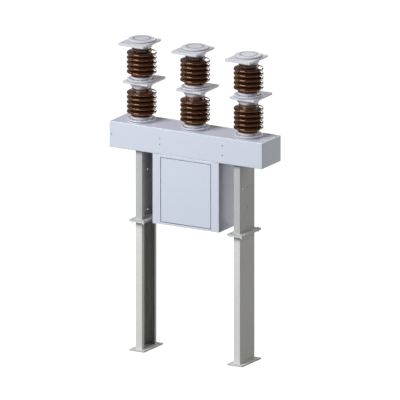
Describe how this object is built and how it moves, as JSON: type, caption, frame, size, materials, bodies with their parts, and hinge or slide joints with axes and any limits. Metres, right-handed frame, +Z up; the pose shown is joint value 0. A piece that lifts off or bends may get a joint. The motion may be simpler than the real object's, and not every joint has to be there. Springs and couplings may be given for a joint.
{
  "type": "gas insulated circuit breaker",
  "caption": "Outdoor gas insulated breaker: brown porcelain columns with cast heads and terminal plates on a folded beam, a hung mechanism cabinet with a door, and channel legs on base plates",
  "frame": {"origin": "on the ground, midway between the two legs, under the middle of the beam", "axes": "+X along the beam to the right pole, +Y to the rear, +Z up; the door faces -Y"},
  "size_m": [2, 0.52, 3.627],
  "materials": {
    "glazed_porcelain": "deep brown glossy glaze over porcelain",
    "cast_aluminium": "cast aluminium with a fine silvery coat",
    "beam_paint": "pale blue-grey enamel on folded steel sheet",
    "cabinet_paint": "pale blue-grey enamel on folded steel sheet",
    "leg_galvanised": "matt zinc grey on folded steel channel"
  },
  "bodies": {
    "breaker": {"beam_bottom_plate": "beam_paint", "beam_front_cover": "beam_paint", "beam_left_end_cap": "beam_paint", "beam_rear_cover": "beam_paint", "beam_right_end_cap": "beam_paint", "beam_top_plate": "beam_paint", "cabinet_door_frame": "cabinet_paint", "cabinet_floor": "cabinet_paint", "cabinet_left_side": "cabinet_paint", "cabinet_rear_panel": "cabinet_paint", "cabinet_right_side": "cabinet_paint", "cabinet_roof": "cabinet_paint", "centre_lower_foot_flange": "cast_aluminium", "centre_lower_insulator": "glazed_porcelain", "centre_lower_terminal_head": "cast_aluminium", "centre_top_cover": "cast_aluminium", "centre_upper_foot_flange": "cast_aluminium", "centre_upper_insulator": "glazed_porcelain", "centre_upper_terminal_head": "cast_aluminium", "left_base_plate": "leg_galvanised", "left_lower_foot_flange": "cast_aluminium", "left_lower_insulator": "glazed_porcelain", "left_lower_leg": "leg_galvanised", "left_lower_splice_plate": "leg_galvanised", "left_lower_terminal_head": "cast_aluminium", "left_top_cover": "cast_aluminium", "left_upper_foot_flange": "cast_aluminium", "left_upper_insulator": "glazed_porcelain", "left_upper_leg": "leg_galvanised", "left_upper_splice_plate": "leg_galvanised", "left_upper_terminal_head": "cast_aluminium", "right_base_plate": "leg_galvanised", "right_lower_foot_flange": "cast_aluminium", "right_lower_insulator": "glazed_porcelain", "right_lower_leg": "leg_galvanised", "right_lower_splice_plate": "leg_galvanised", "right_lower_terminal_head": "cast_aluminium", "right_top_cover": "cast_aluminium", "right_upper_foot_flange": "cast_aluminium", "right_upper_insulator": "glazed_porcelain", "right_upper_leg": "leg_galvanised", "right_upper_splice_plate": "leg_galvanised", "right_upper_terminal_head": "cast_aluminium"},
    "door": {"cabinet_door": "cabinet_paint"}
  },
  "joints": [
    {"name": "door_hinge", "type": "hinge", "parent": "breaker", "child": "door", "pos_m": [-0.312, -0.207, 1.947], "axis": [0, 0, -1], "range_deg": [0, 110]}
  ]
}
